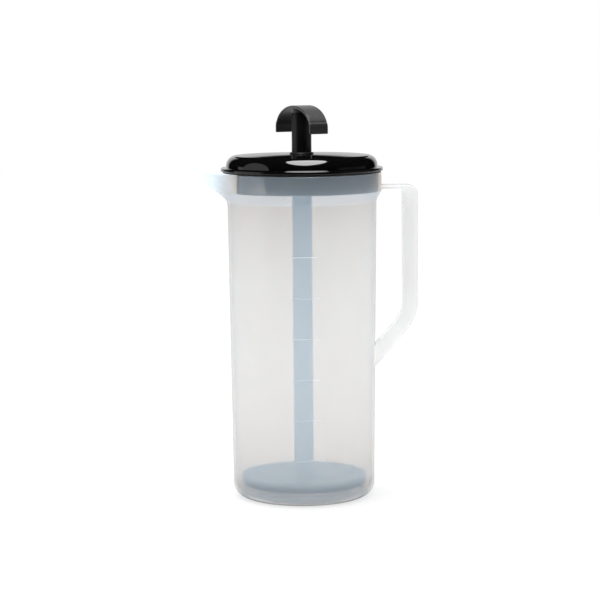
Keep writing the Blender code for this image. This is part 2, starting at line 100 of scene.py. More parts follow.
def rounded(corners: list[Triple], closed: bool = False, steps: int = ARC_STEPS) -> Points:
    """A flat path whose corners are arcs. At a corner of inner angle w the arc's tangent points lie
    radius / tan(w / 2) along both sides, and its centre radius / sin(w / 2) along the bisector.

    Args:
        corners: x, y and corner radius of each point.
        closed: whether the last point joins the first.
        steps: steps in each arc.

    Returns:
        The path's points, one row each, without points that repeat the one before them.
    """
    table = np.array(corners, float)
    points, radii = table[:, :2], table[:, 2:]
    before, after = np.roll(points, 1, axis=0), np.roll(points, -1, axis=0)
    if not closed:
        before[0] = 2 * points[0] - points[1]
        after[-1] = 2 * points[-1] - points[-2]
    back = unit(before - points)
    ahead = unit(after - points)
    half = np.arccos(np.clip((back * ahead).sum(1, keepdims=True), -1.0, 1.0)) / 2
    bisector = np.where(radii > 0, unit(back + ahead), 0.0)
    centre = points + bisector * radii / np.sin(half)
    reach = np.where(radii > 0, radii / np.tan(half), 0.0)
    first, last = points + back * reach - centre, points + ahead * reach - centre
    turn = np.where(radii > 0, math.pi - 2 * half, 1.0)
    share = np.linspace(0.0, 1.0, steps + 1)
    blend_first = np.sin((1 - share) * turn) / np.sin(turn)
    blend_last = np.sin(share * turn) / np.sin(turn)
    arcs = centre[:, None] + first[:, None] * blend_first[..., None] + last[:, None] * blend_last[..., None]
    path = np.where(radii[:, None] > 0, arcs, points[:, None]).reshape(-1, 2)
    gap = np.linalg.norm(np.diff(path, axis=0), axis=1)
    path = path[np.concatenate([[True], gap > WELD])]
    meets = closed and np.linalg.norm(path[0] - path[-1]) < WELD
    return path[:-1] if meets else path


def unit(vectors: Points) -> Points:
    """Vectors scaled to length one along the last axis, with nothing done to zero vectors."""
    length = np.linalg.norm(vectors, axis=-1, keepdims=True)
    return vectors / np.where(length > 0, length, 1.0)


def refined(path: Points, longest: float, closed: bool = False) -> Points:
    """The path with points added along its lengths, so that no step is longer than longest.

    Args:
        path: points of the path, one row each.
        longest: the longest step.
        closed: whether the last point joins the first.

    Returns:
        The refined path, with every old point still in it.
    """
    whole = np.vstack([path, path[:1]]) if closed else path
    along = np.concatenate([[0.0], np.cumsum(np.linalg.norm(np.diff(whole, axis=0), axis=1))])
    counts = np.maximum(np.ceil(np.diff(along) / longest).astype(int), 1)
    leg = np.repeat(np.arange(len(counts)), counts)
    step = np.arange(counts.sum()) - np.repeat(np.cumsum(counts) - counts, counts)
    places = along[leg] + (along[leg + 1] - along[leg]) * step / counts[leg]
    if not closed:
        places = np.append(places, along[-1])
    return np.stack([np.interp(places, along, whole[:, axis]) for axis in range(whole.shape[1])], axis=1)


def grid_quads(rows: int, columns: int, wrap_rows: bool = False) -> Faces:
    """Corner indices of the quads of a grid of points, whose last column joins the first.

    Args:
        rows: number of rows.
        columns: number of columns.
        wrap_rows: whether the last row joins the first as well.

    Returns:
        Four indices for each quad.
    """
    row = np.arange(rows if wrap_rows else rows - 1)[:, None] * columns
    column = np.arange(columns)[None, :]
    next_row, next_column = (row + columns) % (rows * columns), (column + 1) % columns
    corners = (row + column, row + next_column, next_row + next_column, next_row + column)
    return np.stack(corners, axis=-1).reshape(-1, 4).tolist()


def even_angles(count: int) -> Points:
    """Angles spaced evenly round the axis."""
    return np.arange(count) * math.tau / count


def around(radius: Points, angle: Points, level: Points) -> Points:
    """Points round the axis: (r cos a, r sin a, z) for radii r, angles a and levels z."""
    across, along = radius * np.cos(angle), radius * np.sin(angle)
    return np.stack([across, along, np.broadcast_to(level, across.shape)], axis=-1)


def turned(profile: Points, angles: Points) -> Points:
    """A surface of revolution: a grid with a row for each radius and height, a column for each angle."""
    return around(profile[:, :1], angles, profile[:, 1:])


def mesh_object(name: str, points: Points, faces: Faces) -> Piece:
    """An object from points and faces, with its doubles merged and its faces turned outwards.

    Args:
        name: the object's name.
        points: the points, one row each.
        faces: corner indices of each face.

    Returns:
        The new object, at the origin.
    """
    mesh = bpy.data.meshes.new(name)
    mesh.from_pydata(points.reshape(-1, 3).tolist(), [], faces)
    work = bmesh.new()
    work.from_mesh(mesh)
    bmesh.ops.remove_doubles(work, verts=work.verts, dist=WELD)
    bmesh.ops.recalc_face_normals(work, faces=work.faces)
    work.to_mesh(mesh)
    work.free()
    return placed(name, mesh)


def placed(name: str, data: bpy.types.ID) -> Piece:
    """Puts a new object in the scene.

    Args:
        name: the object's name.
        data: the mesh, text, lamp or camera that it holds.

    Returns:
        The new object.
    """
    made = bpy.data.objects.new(name, data)
    bpy.context.scene.collection.objects.link(made)
    return made


def turned_object(name: str, path: Points, facets: int, ring: bool) -> Piece:
    """A surface of revolution as an object, from a ring section or a half section that ends on the axis."""
    grid = turned(path, even_angles(facets))
    return mesh_object(name, grid, grid_quads(len(path), facets, ring))


def capped(grid: Points) -> Shape:
    """A tube of closed rows of points, with flat ends.

    Args:
        grid: rows by columns by 3, where each row is a closed outline.

    Returns:
        Its points and faces.
    """
    rows, columns = grid.shape[:2]
    faces = grid_quads(rows, columns)
    faces.append(list(range(columns))[::-1])
    faces.append(list(range((rows - 1) * columns, rows * columns)))
    return grid.reshape(-1, 3), faces


def slab(outline: Points, width: float, edge: float) -> Shape:
    """A flat outline in X and Z given a width along Y, its long edges rounded: at depth d from either
    side the outline is drawn in by edge - sqrt(edge^2 - (edge - d)^2).

    Args:
        outline: points of the closed outline, one row each.
        width: the whole width along Y, centred on zero.
        edge: radius of the rounded edges, zero for sharp ones.

    Returns:
        The slab's points and faces.
    """
    ahead, behind = np.roll(outline, -1, axis=0), np.roll(outline, 1, axis=0)
    tangent = unit(ahead - behind)
    area = (outline[:, 0] * ahead[:, 1] - ahead[:, 0] * outline[:, 1]).sum()
    outwards = np.stack([tangent[:, 1], -tangent[:, 0]], axis=1) * (1.0 if area > 0 else -1.0)
    angle = np.linspace(0.0, math.pi / 2, EDGE_STEPS + 1) if edge > 0 else np.zeros(1)
    inset = edge * (1 - np.sin(angle))
    depth = width / 2 - edge + edge * np.cos(angle)
    insets, depths = np.append(inset, inset[::-1]), np.append(-depth, depth[::-1])
    flat = outline[None] - outwards[None] * insets[:, None, None]
    across = np.broadcast_to(depths[:, None], flat.shape[:2])
    return capped(np.stack([flat[..., 0], across, flat[..., 1]], axis=-1))


def prism(outline: Points, direction: Triple) -> Shape:
    """A closed outline of 3D points carried along a direction, with flat ends."""
    return capped(np.stack([outline, outline + direction]))


def sector(section: Points, first_deg: float, last_deg: float) -> Shape:
    """A closed section of radii and heights, carried round the axis between two angles, with flat ends."""
    count = max(2, math.ceil((last_deg - first_deg) / SECTOR_STEP_DEG) + 1)
    return capped(turned(section, np.radians(np.linspace(first_deg, last_deg, count))).swapaxes(0, 1))


def joined(parts: list[Shape]) -> Shape:
    """Several closed shapes as one.

    Args:
        parts: points and faces of each shape.

    Returns:
        All points and all faces.
    """
    points, faces, start = [], [], 0
    for part_points, part_faces in parts:
        points.append(part_points)
        faces += [[corner + start for corner in face] for face in part_faces]
        start += len(part_points)
    return np.vstack(points), faces


def turn_about_axis(points: Points, angle_deg: float) -> Points:
    """Points turned about Z."""
    cosine, sine = math.cos(math.radians(angle_deg)), math.sin(math.radians(angle_deg))
    return points @ np.array([[cosine, sine, 0.0], [-sine, cosine, 0.0], [0.0, 0.0, 1.0]])


def combine(target: Piece, operand: Piece, how: Solid) -> None:
    """Joins or cuts the target with the operand, which is then removed.

    Args:
        target: the object that is changed.
        operand: the solid that joins or cuts it.
        how: whether it joins or cuts.
    """
    modifier = target.modifiers.new(operand.name, "BOOLEAN")
    modifier.object = operand
    modifier.operation = how.value
    modifier.solver = "EXACT"
    bpy.context.view_layer.update()
    worked = target.evaluated_get(bpy.context.evaluated_depsgraph_get())
    mesh = bpy.data.meshes.new_from_object(worked)
    target.modifiers.clear()
    target.data = mesh
    bpy.data.objects.remove(operand, do_unlink=True)


def finish_piece(
    piece: Piece, material: Material, node: str, body: Body, sharp_deg: float = SHARP_DEG
) -> None:
    """Gives a piece its material, shading and body, and logs it.

    Args:
        piece: the finished mesh object.
        material: its material.
        node: the CAD node that it stands for.
        body: the CAD body that it rides on.
        sharp_deg: edges sharper than this stay sharp.
    """
    mesh = piece.data
    mesh.materials.clear()
    mesh.materials.append(material)
    mesh.shade_smooth()
    mesh.set_sharp_from_angle(angle=math.radians(sharp_deg))
    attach(piece, body.value)
    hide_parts(node)
    mesh.calc_loop_triangles()
    LOG.info("%s: %d triangles, rides on %s", piece.name, len(mesh.loop_triangles), body.value)


# Finishes


def linear(hex_colour: str) -> tuple[float, float, float, float]:
    """An sRGB hex colour, such as #a0b0c0, as a linear colour with alpha 1, by the sRGB standard's curve.

    Args:
        hex_colour: the colour as it is written.

    Returns:
        Red, green, blue and alpha.
    """
    shares = [int(hex_colour[place : place + 2], 16) / 255 for place in (1, 3, 5)]
    channels = [share / 12.92 if share <= 0.04045 else ((share + 0.055) / 1.055) ** 2.4 for share in shares]
    return (channels[0], channels[1], channels[2], 1.0)


def per_metre(size_mm: float) -> float:
    """The scale of a pattern on Object coordinates whose features are this many millimetres wide."""
    return 1.0 / (size_mm * MILLIMETRE)


def add_node(tree: Tree, kind: str, inputs: dict | None = None, **settings) -> bpy.types.Node:
    """Adds a node with its settings and links.

    Args:
        tree: the node tree.
        kind: the node's type name after ShaderNode.
        inputs: for each input's name or number a value, an output to link from, or a node whose first
            output is linked.
        settings: the node's own properties.

    Returns:
        The new node.
    """
    node = tree.nodes.new("ShaderNode" + kind)
    for name, value in settings.items():
        setattr(node, name, value)
    for name, value in (inputs or {}).items():
        source = value.outputs[0] if isinstance(value, bpy.types.Node) else value
        if isinstance(source, Socket):
            tree.links.new(source, node.inputs[name])
        else:
            node.inputs[name].default_value = source
    return node


def ramps(tree: Tree, *steps: Ramp) -> Socket:
    """The product of ramps, each from one value to another between two places of its input.

    Args:
        tree: the node tree.
        steps: for each ramp its input, first and last place, and first and last value.

    Returns:
        The product's socket.
    """
    result = None
    for source, start, end, first, last in steps:
        reach = {"Value": source, "From Min": start, "From Max": end, "To Min": first, "To Max": last}
        ramp = add_node(tree, "MapRange", reach)
        factors = {0: result, 1: ramp}
        result = ramp if result is None else add_node(tree, "Math", factors, operation="MULTIPLY")
    return result.outputs[0]


def new_material(name: str) -> tuple[Material, Tree, Socket]:
    """An empty node material.

    Args:
        name: the material's name.

    Returns:
        The material, its node tree, and the Object coordinates in it.
    """
    material = bpy.data.materials.new(name)
    material.use_nodes = True
    material.node_tree.nodes.clear()
    return material, material.node_tree, add_node(material.node_tree, "TexCoord").outputs["Object"]


@dataclass(frozen=True)
class MouldGrain:
    """The fine grain that a mould leaves, as bump: its width and depth in millimetres, how many finer
    layers of noise it has, and how strongly it shows. The real grain, about a tenth of a millimetre
    wide, is too fine to show, so it is drawn as coarse as it needs to show."""

    size_mm: float
    depth_mm: float
    detail: float = 3.0
    strength: float = 0.5

    def normal(self, tree: Tree, place: Socket) -> Socket:
        """Builds the grain.

        Args:
            tree: the node tree.
            place: the coordinates that the noise is read at.

        Returns:
            The bumped normal's socket.
        """
        noise = {"Vector": place, "Scale": per_metre(self.size_mm), "Detail": self.detail}
        height = add_node(tree, "TexNoise", noise).outputs["Fac"]
        bump = {"Height": height, "Strength": self.strength, "Distance": self.depth_mm * MILLIMETRE}
        return add_node(tree, "Bump", bump).outputs["Normal"]


@dataclass(frozen=True)
class NaturalPolypropylene:
    """Natural polypropylene, injection moulded in a lightly blasted mould: milky, since its crystals
    scatter blue light more than red, so that what lies behind the wall shows warm through it and dark
    things look blue grey. Each surface passes some light straight on, lets some glow through and throws
    a little back. The spout is thinner and more neutral. Painted light makes a band at the neck under
    the collar paler and lifts the base's lowest band; painted shade greys the handle's bar, darkens
    the foot and draws a dark line along the bottom edge. The gloss is worn on the handle and the foot.
    A pair of numbers is the stretch along X or Z over which such a change comes in."""

    name: str = "natural_polypropylene"
    clear_hex: str = "#c6b7a6"
    thin_hex: str = "#d2d0ce"
    scatter_hex: str = "#b2c3d2"
    glow_share: float = 0.865
    roughness: float = 0.16
    grain: MouldGrain = MouldGrain(0.7, 0.02, 2.0, 0.4)
    cloud_mm: float = 28.0
    cloud_detail: float = 1.0
    cloud_change: float = 0.04
    mirror_share: float = 0.039
    mirror_most: float = 0.7
    mirror_power: float = 5.0
    mirror_worn: float = 0.3
    worn_up_to: Span = (0.009, 0.014)
    spout_x: Span = (-0.0435, -0.0700)
    spout_z: Span = (0.212, 0.224)
    # Painted light: the clear colour turns paler in a band at the neck, under the collar.
    neck_from: Span = (0.2145, 0.2163)
    neck_to: Span = (0.2222, 0.2240)
    neck_share: float = 0.55
    handle_from: Span = (0.0575, 0.0593)
    # Painted shade: the scatter colour is dimmed on the handle's bar above the bend.
    bar_from: Span = (0.12, 0.15)
    bar_level: float = 0.95
    # Painted shade: the scatter colour darkens towards the foot, where the clear colour also turns partly
    # paler.
    foot_up_to: Span = (0.013, 0.019)
    foot_level: float = 0.79
    foot_share: float = 0.28
    # Painted light: the scatter colour is lifted again in the base's lowest band.
    base_up_to: Span = (0.007, 0.0105)
    base_level: float = 1.17
    # Painted shade: the clear colour darkens within the bottom 4 mm.
    edge_up_to: Span = (0.0, 0.004)
    edge_level: float = 0.55
    # Painted shade: a dark line along the bottom edge, in the scatter colour.
    line_up_to: Span = (0.0, 0.0025)
    line_level: float = 0.5

    def material(self) -> Material:
        """Builds the material.

        Returns:
            Clear wall, added to a mix of scattering surface and light that glows through, under gloss.
        """
        material, tree, place = new_material(self.name)
        split = add_node(tree, "SeparateXYZ", {0: place})
        x, z = split.outputs["X"], split.outputs["Z"]
        normal = self.grain.normal(tree, place)

        spread = {"Vector": place, "Scale": per_metre(self.cloud_mm), "Detail": self.cloud_detail}
        cloud = add_node(tree, "TexNoise", spread).outputs["Fac"]
        bar = ramps(tree, (x, *self.handle_from, 0.0, 1.0), (z, *self.bar_from, 0.0, 1.0))
        # Scatter level: random cloud, times painted shade at the foot and along the bottom line, painted
        # light in the base's lowest band, and painted shade on the handle's bar.
        level = ramps(
            tree,
            (cloud, 0.0, 1.0, 1.0 - self.cloud_change, 1.0),
            (z, *self.foot_up_to, self.foot_level, 1.0),
            (z, *self.base_up_to, self.base_level, 1.0),
            (z, *self.line_up_to, self.line_level, 1.0),
            (bar, 0.0, 1.0, 1.0, self.bar_level),
        )
        tint = {0: 1.0, 6: linear(self.scatter_hex), 7: level}
        milk = add_node(tree, "Mix", tint, data_type="RGBA", blend_type="MULTIPLY").outputs[2]
        solid = add_node(tree, "BsdfDiffuse", {"Color": milk, "Normal": normal})
        glow = add_node(tree, "BsdfTranslucent", {"Color": milk})
        body = add_node(tree, "MixShader", {0: self.glow_share, 1: solid, 2: glow})

        # Clear colour paler at the spout, and by painted light at the neck and near the foot.
        paler = ramps(tree, (x, *self.spout_x, 0.0, 1.0), (z, *self.spout_z, 0.0, 1.0))
        neck = ramps(
            tree,
            (z, *self.neck_from, 0.0, self.neck_share),
            (z, *self.neck_to, 1.0, 0.0),
            (x, *self.handle_from, 1.0, 0.0),
        )
        for other in (neck, ramps(tree, (z, *self.foot_up_to, self.foot_share, 0.0))):
            paler = add_node(tree, "Math", {0: paler, 1: other}, operation="MAXIMUM").outputs[0]
        hues = {0: paler, 6: linear(self.clear_hex), 7: linear(self.thin_hex)}
        hue = add_node(tree, "Mix", hues, data_type="RGBA").outputs[2]
        # Painted shade: the clear colour dims at the bottom edge.
        dimmed = {0: 1.0, 6: hue, 7: ramps(tree, (z, *self.edge_up_to, self.edge_level, 1.0))}
        passing = add_node(tree, "Mix", dimmed, data_type="RGBA", blend_type="MULTIPLY").outputs[2]
        clear = add_node(tree, "BsdfTransparent", {"Color": passing})
        wall = add_node(tree, "AddShader", {0: clear, 1: body})

        facing = add_node(tree, "LayerWeight", {"Blend": 0.5}).outputs["Facing"]
        steep = add_node(tree, "Math", {0: facing, 1: self.mirror_power}, operation="POWER").outputs[0]
        most = ramps(
            tree,
            (z, *self.worn_up_to, self.mirror_worn, 1.0),
            (x, *self.handle_from, self.mirror_most, self.mirror_worn),
        )
        shine = ramps(tree, (steep, 0.0, 1.0, self.mirror_share, most))
        gloss = add_node(tree, "BsdfAnisotropic", {"Roughness": self.roughness, "Normal": normal})
        whole = add_node(tree, "MixShader", {0: shine, 1: wall, 2: gloss})
        add_node(tree, "OutputMaterial", {"Surface": whole})
        return material


@dataclass(frozen=True)
class BlackPlastic:
    """Black moulded plastic, whose polish is the mould's: the lid's is mirror bright, the shaft's is
    satin, the grip's fine texture catches pale light from the side, and the soft seals are dull."""

    name: str
    colour_hex: str
    roughness: float
    grain: MouldGrain
    smear_mm: float
    ior: float = 1.52
    sheen: float = 0.0
    sheen_roughness: float = 0.3
    smear_detail: float = 4.0
    smear_change: float = 0.2

    def material(self) -> Material:
        """Builds the material.

        Returns:
            A plastic with fine grain in its bump and slow changes of gloss from handling.
        """
        material, tree, place = new_material(self.name)
        spread = {"Vector": place, "Scale": per_metre(self.smear_mm), "Detail": self.smear_detail}
        smear = add_node(tree, "TexNoise", spread).outputs["Fac"]
        low, high = self.roughness * (1 - self.smear_change), self.roughness * (1 + self.smear_change)
        inputs = {
            "Base Color": linear(self.colour_hex),
            "Roughness": ramps(tree, (smear, 0.0, 1.0, low, high)),
            "IOR": self.ior,
            "Sheen Weight": self.sheen,
            "Sheen Roughness": self.sheen_roughness,
            "Normal": self.grain.normal(tree, place),
        }
        add_node(tree, "OutputMaterial", {"Surface": add_node(tree, "BsdfPrincipled", inputs)})
        return material


FINE_GRAIN = MouldGrain(0.5, 0.01)
LID_GLOSS = BlackPlastic("gloss_black_styrene", "#0b0a0b", 0.05, MouldGrain(3.0, 0.002), 22.0)
PLUNGER_SATIN = BlackPlastic("satin_black_polypropylene", "#0e0d0f", 0.28, FINE_GRAIN, 18.0, 1.41)
GRIP_TEXTURE = BlackPlastic("textured_black_polypropylene", "#100f11", 0.36, FINE_GRAIN, 18.0, 1.5, 0.5, 0.45)
SEAL_SOFT = BlackPlastic("soft_black_elastomer", "#141416", 0.5, MouldGrain(0.4, 0.01), 12.0, 1.5)


# The jug


@dataclass
class Pitcher:
    """The jug, one moulding: floor, drafted wall, neck, collar, spout, handle, raised marks and digits."""

    finish: NaturalPolypropylene
    wall: float = 0.0018
    floor: float = 0.0025
    base_radius: float = 0.05145
    draft_deg: float = 0.636
    base_fillet: float = 0.0098
    floor_fillet: float = 0.0080
    pad_radius: float = 0.012
    foot_width: float = 0.006
    recess_depth: float = 0.0008
    recess_round: float = 0.0006
    collar_radius: float = 0.0575
    rim_height: float = 0.2363
    rim_round: float = 0.0007
    collar_height: float = 0.2232
    collar_round: float = 0.0012
    neck_height: float = 0.2165
    neck_round: float = 0.0050
    profile_steps: int = 10
    profile_longest: float = 0.0035
    spout_reach: float = 0.0708
    spout_root_height: float = 0.2135
    spout_lip: float = 0.0034
    spout_columns: float = 6.0
    spout_spread: float = 0.16
    column_samples: int = 4096
    keel_round_deg: float = 1.6
    handle_top: float = 0.2271
    handle_reach: float = 0.0834
    handle_strap: float = 0.0026
    handle_depth: float = 0.0109
    handle_arm_depth: float = 0.0099
    handle_width: float = 0.0190
    handle_web: float = 0.0026
    handle_cheek: float = 0.0024
    handle_corner: float = 0.0066
    handle_corner_steps: int = 16
    handle_bend_height: float = 0.1440
    handle_bend_radius: float = 0.0350
    handle_arm_deg: float = 41.0
    handle_root_height: float = 0.1050
    handle_edge: float = 0.0010
    handle_longest: float = 0.004
    channel_stop: float = 0.0030
    bend_steps: int = 28
    root_sink: float = 0.0012
    mark_count: int = 6
    mark_first: float = 0.0341
    mark_pitch: float = 0.0291
    mark_left: float = 0.0080
    mark_right: float = 0.0118
    mark_radius: float = 0.0004
    mark_longest: float = 0.0012
    digit_size: float = 0.0052
    digit_left: float = 0.0134
    digit_proud: float = 0.0003

    def wall_radius(self, height: Points) -> Points:
        """The outer radius at each height: the drafted wall, the neck's slope, then the upright collar.

        Args:
            height: one height or an array of them.

        Returns:
            The radius at each.
        """
        draft = math.tan(math.radians(self.draft_deg))
        drafted = self.base_radius + np.minimum(height, self.neck_height) * draft
        share = np.clip((height - self.neck_height) / (self.collar_height - self.neck_height), 0.0, 1.0)
        return drafted + (self.collar_radius - drafted) * share

    def profile(self) -> Points:
        """The half section from the middle of the underside, over the rim, to the middle of the floor.

        Returns:
            Radius and height of each point.
        """
        foot_inner = float(self.wall_radius(self.base_fillet)) - self.base_fillet - self.foot_width
        neck = float(self.wall_radius(self.neck_height))
        outside, inside = self.collar_radius, self.collar_radius - self.wall
        dip, edge, pad = self.recess_depth, self.recess_round, self.pad_radius
        corners = [
            (0.0, 0.0, 0.0), (pad, 0.0, edge), (pad + dip, dip, edge), (foot_inner - dip, dip, edge),
            (foot_inner, 0.0, edge), (self.base_radius, 0.0, self.base_fillet),
            (neck, self.neck_height, self.neck_round), (outside, self.collar_height, self.collar_round),
            (outside, self.rim_height, self.rim_round), (inside, self.rim_height, self.rim_round),
            (inside, self.collar_height, self.collar_round),
            (neck - self.wall, self.neck_height, self.neck_round),
            (float(self.wall_radius(self.floor)) - self.wall, self.floor, self.floor_fillet),
            (0.0, self.floor, 0.0),
        ]
        return refined(rounded(corners, steps=self.profile_steps), self.profile_longest)

    def columns(self) -> Points:
        """Angles round the axis, closer together near the spout: their density is 1 + n exp(-(d / s)^2)
        at an angle d from -X, with n and s the fields spout_columns and spout_spread.

        Returns:
            The angles in order.
        """
        fine = np.linspace(-math.pi, math.pi, self.column_samples)
        density = 1.0 + self.spout_columns * np.exp(-((fine / self.spout_spread) ** 2))
        total = np.concatenate([[0.0], np.cumsum((density[1:] + density[:-1]) / 2)])
        wanted = (np.arange(LARGE_FACETS) + 0.5) / LARGE_FACETS * total[-1]
        return np.interp(wanted, total, fine) + math.pi

    def pulled(self, grid: Points) -> Points:
        """The grid with the spout pulled out. At each height the section is the wall's circle of radius r
        and its two tangent lines from the keel at radius k: at an angle d from -X the point moves out by
        1 / cos(a - d), where cos a = r / k. The keel goes from wall to tip as a smooth step, and d is
        rounded off near zero as sqrt(d^2 + e^2) - e.

        Args:
            grid: the turned wall's points.

        Returns:
            The moved points.
        """
        height = grid[..., 2]
        wall = self.wall_radius(height)
        root = float(self.wall_radius(self.spout_root_height))
        rise = self.rim_height - self.spout_lip - self.spout_root_height
        share = np.clip((height - self.spout_root_height) / rise, 0.0, 1.0)
        keel = np.maximum(root + (self.spout_reach - root) * share**2 * (3 - 2 * share), wall)
        spread = np.arccos(np.clip(wall / keel, -1.0, 1.0))
        soft = math.radians(self.keel_round_deg)
        offset = np.sqrt(np.arctan2(grid[..., 1], -grid[..., 0]) ** 2 + soft**2) - soft
        pulls = (height > self.spout_root_height) & (offset < spread)
        stretch = np.where(pulls, 1 / np.cos(spread - offset), 1.0)
        return grid * np.stack([stretch, stretch, np.ones_like(stretch)], axis=-1)

    def shell(self) -> Piece:
        """The turned and pulled wall and floor, without handle and marks."""
        grid = self.pulled(turned(self.profile(), self.columns()))
        return mesh_object("pitcher_moulding", grid, grid_quads(*grid.shape[:2]))

    def bar(self, inset: float, arm_inset: float, top: float, stop_x: float) -> Points:
        """The handle's bar, bend and arm as a path in X and Z: upright to the bend's centre height, an
        arc whose radius changes evenly, then straight.

        Args:
            inset: how far the bar is set in from the handle's outer face.
            arm_inset: how far the arm is set in from it.
            top: the height at which the bar starts.
            stop_x: the X at which the arm ends.

        Returns:
            The path's points.
        """
        angle = -np.radians(np.linspace(0.0, self.handle_arm_deg, self.bend_steps + 1))
        radius = self.handle_bend_radius - np.linspace(inset, arm_inset, self.bend_steps + 1)
        across = self.handle_reach - self.handle_bend_radius + radius * np.cos(angle)
        bend = np.stack([across, self.handle_bend_height + radius * np.sin(angle)], axis=1)
        lean = math.radians(self.handle_arm_deg)
        run = (bend[-1, 0] - stop_x) / math.sin(lean)
        end = [stop_x, bend[-1, 1] - run * math.cos(lean)]
        return np.vstack([[self.handle_reach - inset, top], bend, end])

    def handle(self) -> Piece:
        """The handle: a rounded slab in side view, with a channel cut into its inner side.

        Returns:
            The handle as a solid.
        """
        strap_root = self.collar_radius - self.root_sink
        arm_root = float(self.wall_radius(self.handle_root_height)) - self.root_sink
        corner_top = self.handle_top - self.handle_corner
        corners = [
            (strap_root, self.handle_top, 0.0),
            (self.handle_reach, self.handle_top, self.handle_corner),
            (self.handle_reach, corner_top - self.handle_edge, 0.0),
        ]
        shoulder = rounded(corners, steps=self.handle_corner_steps)
        underside = self.handle_top - self.handle_strap
        outer = self.bar(0.0, 0.0, corner_top - 2 * self.handle_edge, arm_root)
        inner = self.bar(self.handle_depth, self.handle_arm_depth, underside, arm_root)[::-1]
        outline = np.vstack([shoulder, outer, inner, [[strap_root, underside]]])
        outline = refined(outline, self.handle_longest, True)
        handle = mesh_object("handle_slab", *slab(outline, self.handle_width, self.handle_edge))

        stop = float(self.wall_radius(self.handle_bend_height)) + self.channel_stop
        beyond = self.handle_depth + CUT_OVERRUN
        web_side = self.bar(self.handle_web, self.handle_web, corner_top, stop)
        open_side = self.bar(beyond, beyond, corner_top, stop)[::-1]
        channel = slab(np.vstack([web_side, open_side]), self.handle_width - 2 * self.handle_cheek, 0.0)
        combine(handle, mesh_object("handle_channel", *channel), Solid.CUT)
        return handle

    def mark(self, height: float) -> Shape:
        """One raised line: a bead along the wall whose radius falls to zero at its ends as half a circle.

        Args:
            height: the line's level.

        Returns:
            Its points and faces.
        """
        radius, bead = float(self.wall_radius(height)), self.mark_radius
        ends = bead * (1 - np.cos(np.linspace(0.0, math.pi / 2, EDGE_STEPS + 1)))
        along = np.concatenate([-self.mark_left + ends, self.mark_right - ends[::-1]])
        along = refined(along[:, None], self.mark_longest)[:, 0]
        close = np.minimum(np.minimum(along + self.mark_left, self.mark_right - along), bead)
        thick = np.sqrt(np.maximum(bead**2 - (bead - close) ** 2, 0.0))
        bead_angle = even_angles(BEAD_FACETS)
        reach = radius + thick[:, None] * np.cos(bead_angle)
        angle = (along / radius)[:, None] - math.pi / 2
        grid = around(reach, angle, height + thick[:, None] * np.sin(bead_angle))
        return grid.reshape(-1, 3), grid_quads(*grid.shape[:2])

    def digit(self, number: int, height: float) -> Piece:
        """One raised digit beside a line, bent onto the wall: a point x across and y up goes to the angle
        x / radius and the height y.

        Args:
            number: the digit.
            height: the level of its middle.

        Returns:
            The digit as a solid, half sunk in the wall.
        """
        curve = bpy.data.curves.new(f"digit_{number}", "FONT")
        curve.body = str(number)
        curve.size = self.digit_size
        curve.extrude = self.digit_proud
        curve.align_y = "CENTER"
        text = placed(f"digit_text_{number}", curve)
        bpy.context.view_layer.update()
        mesh = bpy.data.meshes.new_from_object(text.evaluated_get(bpy.context.evaluated_depsgraph_get()))
        bpy.data.objects.remove(text, do_unlink=True)
        flat = np.empty(len(mesh.vertices) * 3)
        mesh.vertices.foreach_get("co", flat)
        flat = flat.reshape(-1, 3)
        level = height + flat[:, 1]
        wall = self.wall_radius(level)
        radius = wall + np.where(flat[:, 2] > 0, self.digit_proud, -self.wall / 2)
        angle = (self.digit_left + flat[:, 0]) / wall - math.pi / 2
        faces = [list(face.vertices) for face in mesh.polygons]
        bpy.data.meshes.remove(mesh)
        return mesh_object(f"digit_{number}", around(radius, angle, level), faces)

    def build(self) -> None:
        """Builds and dresses the jug."""
        jug = self.shell()
        combine(jug, self.handle(), Solid.JOIN)
        heights = [self.mark_first + index * self.mark_pitch for index in range(self.mark_count)]
        marks = joined([self.mark(height) for height in heights])
        combine(jug, mesh_object("volume_marks", *marks), Solid.JOIN)
        for index, height in enumerate(heights):
            combine(jug, self.digit(index + 1, height), Solid.JOIN)
        finish_piece(jug, self.finish.material(), "pitcher_body", Body.PITCHER)


# The lid


